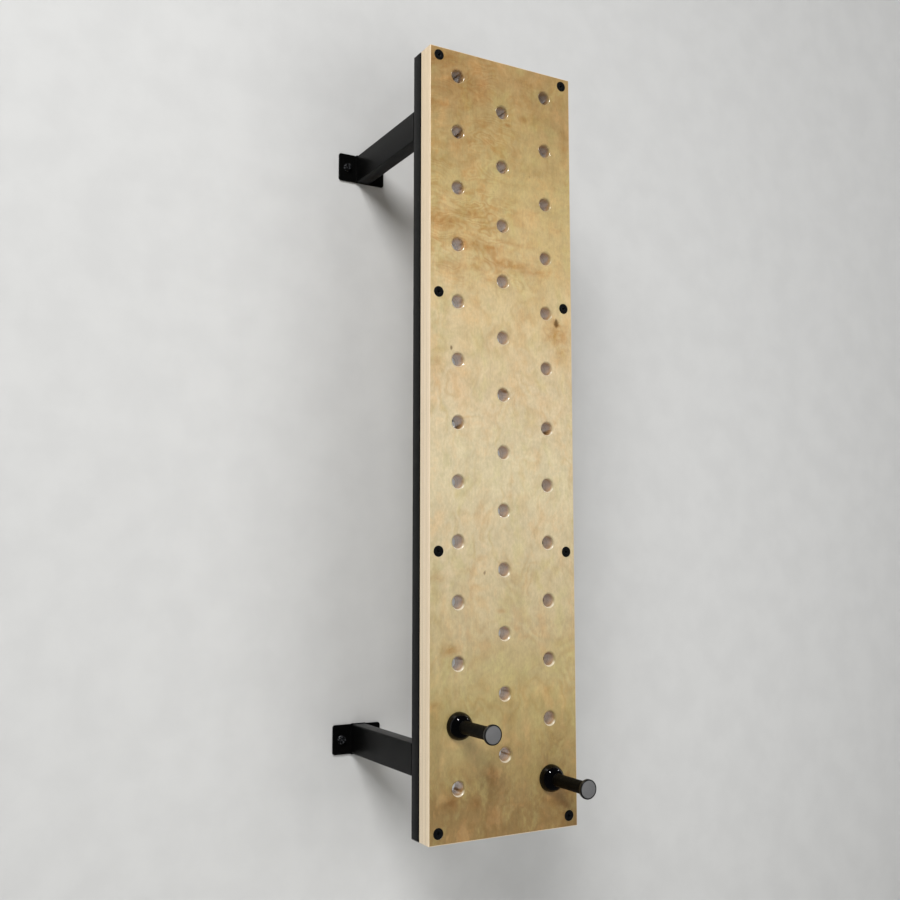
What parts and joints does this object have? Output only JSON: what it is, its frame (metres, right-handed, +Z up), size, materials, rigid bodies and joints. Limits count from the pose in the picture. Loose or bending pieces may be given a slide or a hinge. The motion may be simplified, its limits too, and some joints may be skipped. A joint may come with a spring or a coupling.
{
  "type": "climbing pegboard",
  "caption": "Wall-mounted climbing board: a thick plywood panel with columns of peg holes on a steel standoff frame, with removable hand pegs.",
  "frame": {"origin": "centre of the back face of the lower left wall plate, on the wall plane", "axes": "+X across the panel to the right as a climber faces it, +Y into the wall, +Z up"},
  "size_m": [0.546, 0.6177, 2],
  "materials": {
    "plywood": "clear lacquered birch plywood",
    "powder_coat": "black powder coat",
    "black_plastic": "moulded, satin",
    "black_oxide_steel": "black oxide",
    "zinc": "zinc plated",
    "gloss_plastic": "polished",
    "rubber_grip": "matt moulded rubber",
    "aluminium": "satin"
  },
  "bodies": {
    "board": {"front_panel": "plywood", "bottom_crossbar": "powder_coat", "middle_crossbar": "powder_coat", "top_crossbar": "powder_coat", "left_upright": "powder_coat", "left_upright_top_cap": "black_plastic", "left_upright_bottom_cap": "black_plastic", "left_panel_screw_1": "black_oxide_steel", "left_rivet_nut_1": "zinc", "left_panel_screw_2": "black_oxide_steel", "left_rivet_nut_2": "zinc", "left_panel_screw_3": "black_oxide_steel", "left_rivet_nut_3": "zinc", "left_panel_screw_4": "black_oxide_steel", "left_rivet_nut_4": "zinc", "lower_left_arm": "powder_coat", "lower_left_wall_plate": "powder_coat", "lower_left_outer_wall_bolt": "black_oxide_steel", "lower_left_inner_wall_bolt": "black_oxide_steel", "upper_left_arm": "powder_coat", "upper_left_wall_plate": "powder_coat", "upper_left_outer_wall_bolt": "black_oxide_steel", "upper_left_inner_wall_bolt": "black_oxide_steel", "right_upright": "powder_coat", "right_upright_top_cap": "black_plastic", "right_upright_bottom_cap": "black_plastic", "right_panel_screw_1": "black_oxide_steel", "right_rivet_nut_1": "zinc", "right_panel_screw_2": "black_oxide_steel", "right_rivet_nut_2": "zinc", "right_panel_screw_3": "black_oxide_steel", "right_rivet_nut_3": "zinc", "right_panel_screw_4": "black_oxide_steel", "right_rivet_nut_4": "zinc", "lower_right_arm": "powder_coat", "lower_right_wall_plate": "powder_coat", "lower_right_outer_wall_bolt": "black_oxide_steel", "lower_right_inner_wall_bolt": "black_oxide_steel", "upper_right_arm": "powder_coat", "upper_right_wall_plate": "powder_coat", "upper_right_outer_wall_bolt": "black_oxide_steel", "upper_right_inner_wall_bolt": "black_oxide_steel"},
    "left_peg": {"left_peg_tube": "aluminium", "left_peg_tip_plug": "black_plastic", "left_peg_collar": "gloss_plastic", "left_peg_grip": "rubber_grip", "left_peg_end_flange": "black_plastic", "left_peg_end_disc": "aluminium"},
    "right_peg": {"right_peg_tube": "aluminium", "right_peg_tip_plug": "black_plastic", "right_peg_collar": "gloss_plastic", "right_peg_grip": "rubber_grip", "right_peg_end_flange": "black_plastic", "right_peg_end_disc": "aluminium"}
  },
  "joints": [
    {"name": "left_peg_pull", "type": "slide", "parent": "board", "child": "left_peg", "axis": [0, -1, 0], "range_m": [0, 0.12]},
    {"name": "right_peg_pull", "type": "slide", "parent": "board", "child": "right_peg", "axis": [0, -1, 0], "range_m": [0, 0.12]}
  ]
}
